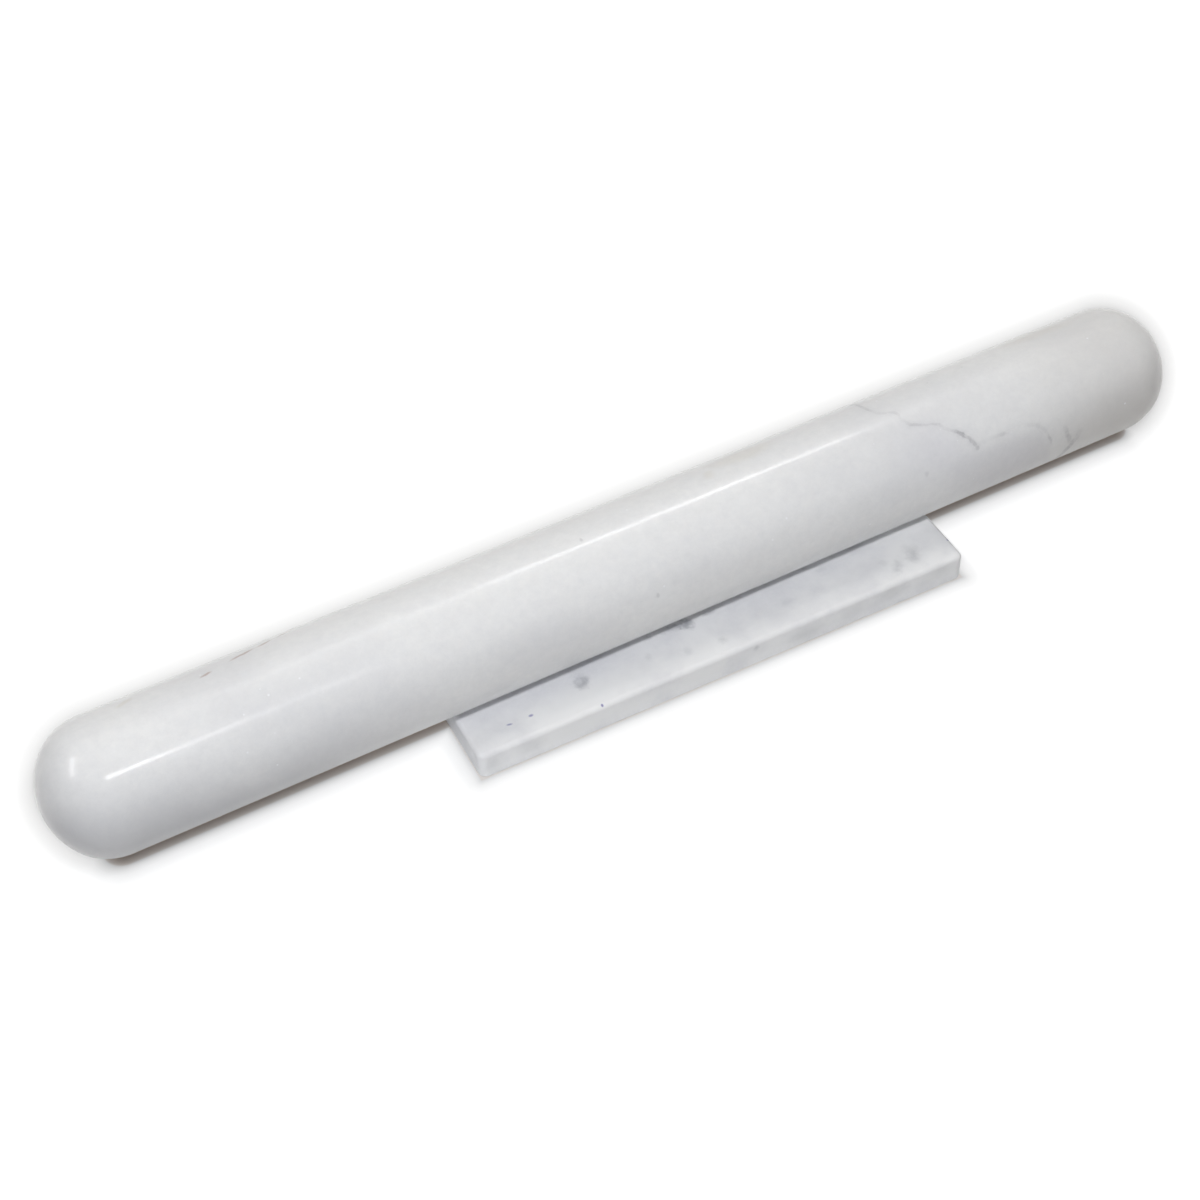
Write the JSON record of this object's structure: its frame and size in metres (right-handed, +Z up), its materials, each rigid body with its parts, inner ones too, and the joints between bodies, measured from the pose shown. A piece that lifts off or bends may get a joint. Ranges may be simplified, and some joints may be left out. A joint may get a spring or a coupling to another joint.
{
  "type": "marble rolling pin",
  "caption": "Handleless marble rolling pin with domed ends, resting in the shallow groove of a small marble base plate.",
  "frame": {"origin": "on the surface the plate rests on, straight below the middle of the pin", "axes": "+X along the pin, towards the end where the plate reaches further; +Y across it, away from the pictured side; +Z up"},
  "size_m": [0.46, 0.0774, 0.0605],
  "materials": {
    "honed_marble": "white marble with faint grey clouds and a few dark specks, honed smooth with eased edges",
    "polished_marble": "white marble with one grey vein and soft clouds, polished"
  },
  "bodies": {
    "base": {"base_plate": "honed_marble"},
    "pin": {"rolling_pin": "polished_marble"}
  },
  "joints": [
    {"name": "pin_lift", "type": "slide", "parent": "base", "child": "pin", "axis": [0, 0, 1], "range_m": [0, 0.08]}
  ]
}
